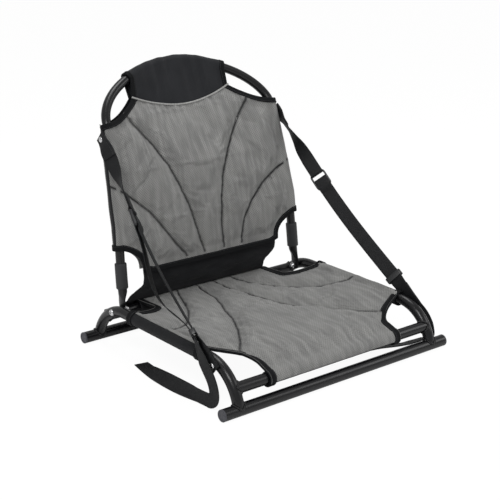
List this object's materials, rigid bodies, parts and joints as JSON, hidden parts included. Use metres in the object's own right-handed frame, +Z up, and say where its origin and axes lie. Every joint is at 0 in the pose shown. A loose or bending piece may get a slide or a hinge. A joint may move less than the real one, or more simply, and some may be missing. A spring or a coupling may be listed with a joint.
{
  "type": "kayak seat",
  "caption": "Low framed kayak seat with a padded mesh sling, a fold-down strapped backrest and cross tubes that rest on the floor.",
  "frame": {"origin": "centre of the bounding box at floor level", "axes": "front is -Y, up is +Z, the seat's width runs along X and its left side as seen from the front is -X"},
  "size_m": [0.49, 0.4884, 0.4765],
  "materials": {
    "powder_coat": "satin",
    "cap_plastic": "matte",
    "sleeve_rubber": "matte",
    "stainless": "satin",
    "black_plastic": "satin",
    "mesh_cloth": "woven mesh",
    "headrest_cloth": "woven",
    "panel_cloth": "woven",
    "webbing": "woven webbing"
  },
  "bodies": {
    "seat": {"front_foot_tube": "powder_coat", "rear_foot_tube": "powder_coat", "front_cross_tube": "powder_coat", "rear_cross_tube": "powder_coat", "left_side_rail": "powder_coat", "right_side_rail": "powder_coat", "front_left_end_cap": "cap_plastic", "front_right_end_cap": "cap_plastic", "rear_left_end_cap": "cap_plastic", "rear_right_end_cap": "cap_plastic", "left_pivot_bolt": "stainless", "right_pivot_bolt": "stainless", "left_pivot_nut": "stainless", "right_pivot_nut": "stainless", "left_strap_rivet": "stainless", "right_strap_rivet": "stainless", "left_pivot_spacer": "black_plastic", "right_pivot_spacer": "black_plastic", "left_strap_buckle": "black_plastic", "right_strap_buckle": "black_plastic", "left_strap_keeper": "black_plastic", "right_strap_keeper": "black_plastic", "seat_sling": "mesh_cloth", "lower_back_panel": "panel_cloth", "left_load_strap": "webbing", "right_load_strap": "webbing", "left_strap_tail": "webbing", "right_strap_tail": "webbing"},
    "backrest": {"back_hoop": "powder_coat", "back_sling": "mesh_cloth", "headrest_panel": "headrest_cloth", "left_upright_sleeve": "sleeve_rubber", "right_upright_sleeve": "sleeve_rubber", "left_shoulder_rivet": "stainless", "right_shoulder_rivet": "stainless", "left_upper_strap": "webbing", "right_upper_strap": "webbing"}
  },
  "joints": [
    {"name": "backrest_fold", "type": "hinge", "parent": "seat", "child": "backrest", "pos_m": [0, 0.10975, 0.06948], "axis": [1, 0, 0], "range_deg": [0, 60], "deforming": ["left_upper_strap", "right_upper_strap", "left_load_strap", "right_load_strap", "left_strap_tail", "right_strap_tail", "left_strap_buckle", "right_strap_buckle", "left_strap_keeper", "right_strap_keeper", "lower_back_panel"]}
  ]
}
